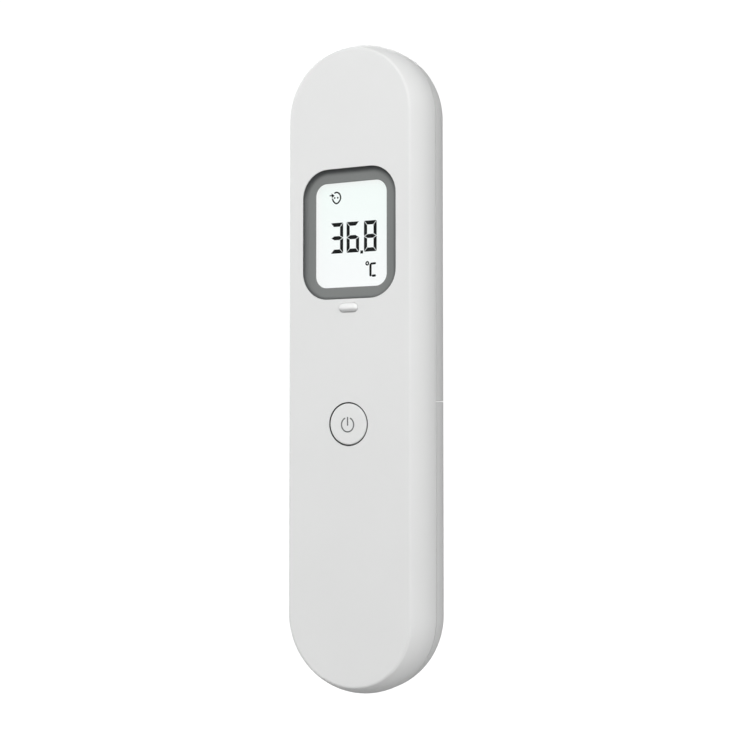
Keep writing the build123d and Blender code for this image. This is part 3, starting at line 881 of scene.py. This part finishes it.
def coil_spring(name, node, wide_end_up, material):
    """Conical contact spring: a wire carried along a helix whose radius shrinks from the plate to the cell,
    with a flat turn at each end."""
    low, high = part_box(node)
    centre = middle(node)
    wire = 0.28 * MM
    turns, steps, sides = 5.0, 320, 12
    share = np.linspace(0, 1, steps)
    rise = np.clip((share * turns - 0.8) / (turns - 1.6), 0, 1)
    angle = 2 * math.pi * turns * share
    radius = (3.6 - 1.5 * share) * MM
    height = (high[2] - low[2]) - 2 * wire
    level = low[2] + wire + rise * height
    if wide_end_up:
        level = high[2] - wire - rise * height
    outward = np.stack([np.cos(angle), np.sin(angle), np.zeros(steps)], axis=-1)
    axis = np.stack([np.full(steps, centre.x), np.full(steps, centre.y), level], axis=-1)
    core = axis + outward * radius[:, None]
    turn = np.linspace(0, 2 * math.pi, sides, endpoint=False)
    upward = np.array([0.0, 0.0, 1.0])
    ring = np.cos(turn)[:, None, None] * outward[None] + np.sin(turn)[:, None, None] * upward
    points = np.swapaxes(core[None] + wire * ring, 0, 1)
    faces = grid_faces(steps, sides, ring_columns=True) + end_faces(steps, sides)
    piece = add_mesh(name, points, faces, material, "housing")
    merge(piece)
    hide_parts(node)


# ---------------------------------------------------------------------------
# Stage, lights and camera
# ---------------------------------------------------------------------------

def studio_floor():
    """Round flat pale floor, far enough below the thermometer for its door to slide all the way down."""
    radius = np.concatenate([[0.0001], np.linspace(0.05, FLOOR_RADIUS, 40)])
    angle = np.linspace(0, 2 * math.pi, 96, endpoint=False)
    across = radius[:, None] * np.cos(angle)
    along = radius[:, None] * np.sin(angle)
    level = np.full(across.shape, BOTTOM - FLOOR_DROP)
    points = np.stack([across, along, level], axis=-1)
    faces = grid_faces(*across.shape, ring_columns=True)
    merge(add_mesh("studio_floor", points, faces, floor_paint(), None))


def soft_light(name, place, target, width, power):
    """Square soft box at a place, turned to a target."""
    data = bpy.data.lights.new(name, "AREA")
    data.shape = "SQUARE"
    data.size = width
    data.energy = power
    light = bpy.data.objects.new(name, data)
    light.location = place
    light.rotation_euler = (Vector(target) - Vector(place)).to_track_quat("-Z", "Y").to_euler()
    bpy.context.scene.collection.objects.link(light)


def studio_air():
    """White surroundings. As a light they are the sum of the soft boxes: each is its level times the cosine
    of the angle away from it, raised to a power, and nothing past a right angle."""
    world = bpy.data.worlds.new("studio_air")
    bpy.context.scene.world = world
    world.use_nodes = True
    air = Nodes(world.node_tree, "Generated")
    strength = 0.0
    for turn, level in SOFT_BOXES:
        towards = air.x * math.sin(math.radians(turn)) - air.y * math.cos(math.radians(turn))
        strength = strength + level * towards.at_least(0.0) ** BOX_TIGHTNESS
    light = air.node("ShaderNodeBackground", inputs={"Strength": strength})
    backdrop = air.node("ShaderNodeBackground", inputs={"Strength": BACKDROP_LEVEL})
    for ground in (light, backdrop):
        ground.socket.node.inputs["Color"].default_value = opaque((1.0, 1.0, 1.0))
    seen = air.node("ShaderNodeLightPath", output="Is Camera Ray")
    both = air.node("ShaderNodeMixShader", inputs={0: seen, 1: light, 2: backdrop})
    air.node("ShaderNodeOutputWorld", inputs={"Surface": both}, output=None)


def studio_camera():
    """Camera a little to the right of the front, low and tilted slightly up."""
    right = Vector((math.cos(CAMERA_TURN), math.sin(CAMERA_TURN), 0.0))
    back = Vector((math.sin(CAMERA_TURN), -math.cos(CAMERA_TURN), 0.0))
    upward = Vector((0.0, 0.0, 1.0))
    place = right * CAMERA_SIDE + back * CAMERA_DISTANCE - upward * CAMERA_DROP
    place += Vector((0.0, FRONT, 0.0))
    looking = -back * math.cos(CAMERA_PITCH) + upward * math.sin(CAMERA_PITCH)
    data = bpy.data.cameras.new("studio_camera")
    data.lens = CAMERA_LENS
    data.sensor_width = 36.0
    data.clip_start = 0.01
    camera = bpy.data.objects.new("studio_camera", data)
    camera.location = place
    camera.rotation_euler = looking.to_track_quat("-Z", "Y").to_euler()
    bpy.context.scene.collection.objects.link(camera)
    bpy.context.scene.camera = camera


# ---------------------------------------------------------------------------
# Putting it together
# ---------------------------------------------------------------------------

def dress(node, material):
    """Give a frame node its finish."""
    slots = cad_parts[node].data.materials
    if slots:
        slots[0] = material
    else:
        slots.append(material)


def dress_frame():
    """Give every frame node that keeps its own mesh its finish, and give back the one for plated steel."""
    shell = moulded_white("shell_white", (0.80, 0.805, 0.80))
    steel = brushed_metal("nickel_plate", (0.72, 0.70, 0.66))
    finishes = {
        shell: ("front_cover", "rear_cover", "battery_door"),
        moulded_white("button_white", (0.81, 0.815, 0.81), 0.000002, 0.3, CAP_EDGE): ("power_button",),
        clear_window(): ("display_lens",),
        lit_display(): ("lcd_cell",),
        moulded_plain("holder_plastic", (0.62, 0.62, 0.6)): ("lcd_holder",),
        frosted_clear("light_guide", (0.88, 0.93, 0.93)): ("backlight_guide",),
        frosted_clear("led_lens", (0.95, 0.9, 0.7), 0.4): ("backlight_leds", "indicator_led"),
        zebra_rubber(): ("zebra_strips",),
        moulded_plain("switch_black", (0.03, 0.03, 0.033)): ("switch_body", "buzzer"),
        moulded_plain("plunger_yellow", (0.5, 0.42, 0.08)): ("switch_plunger",),
        board_laminate(): ("main_board",),
        chip_package("controller_package", "microcontroller", 3.5 * MM, 3.5 * MM): ("microcontroller",),
        chip_package("memory_package", "memory_chip", 1.95 * MM, 2.45 * MM): ("memory_chip",),
        brushed_metal("crystal_tin", (0.75, 0.75, 0.74), 0.25, (18.0, 1.0, 1.0)): ("crystal",),
        chip_parts("capacitor_ceramic", (0.42, 0.3, 0.17), 0.45 * MM, capacitor_ends): ("chip_capacitors",),
        chip_parts("resistor_ceramic", (0.04, 0.04, 0.045), 0.5 * MM, resistor_ends): ("chip_resistors",),
        turned_metal("sensor_nickel", (0.74, 0.72, 0.68), "sensor_can"): ("sensor_can",),
        sensor_glass(): ("sensor_filter",),
        brushed_metal("pin_gold", (0.85, 0.62, 0.25), 0.2): ("sensor_pins",),
        turned_metal("sleeve_brass", (0.75, 0.55, 0.25), "sensor_sleeve"): ("sensor_sleeve",),
        moulded_rubber("gasket_rubber", (0.02, 0.02, 0.02)): ("sensor_gasket",),
        polished_black(): ("sensor_cone",),
        plated_ring(): ("sensor_ring",),
        steel: ("contact_positive", "contact_negative", "contact_bridge"),
        brushed_metal("screw_zinc", (0.55, 0.55, 0.57), 0.32, (1.0, 1.0, 1.0)):
            ("case_screws", "board_screws"),
    }
    for material, nodes in finishes.items():
        for node in nodes:
            dress(node, material)
    return steel


def main():
    """Dress the frame, add the finer pieces, then the studio."""
    bpy.context.scene.view_settings.view_transform = "Standard"
    steel = dress_frame()
    ink = display_ink()
    sleeve = cell_sleeve()
    seal = moulded_plain("seal_black", (0.03, 0.03, 0.032))
    display_surround(surround_grey())
    indicator_dome(milky_diffuser())
    display_digits(ink)
    display_symbols(ink)
    power_mark(printed_grey())
    for side in ("left", "right"):
        battery(side, sleeve, steel, seal)
    coil_spring("bridge_coil", "bridge_spring", False, steel)
    coil_spring("negative_coil", "negative_spring", True, steel)
    studio_floor()
    studio_air()
    for lamp in LAMPS:
        soft_light(*lamp)
    studio_camera()


main()
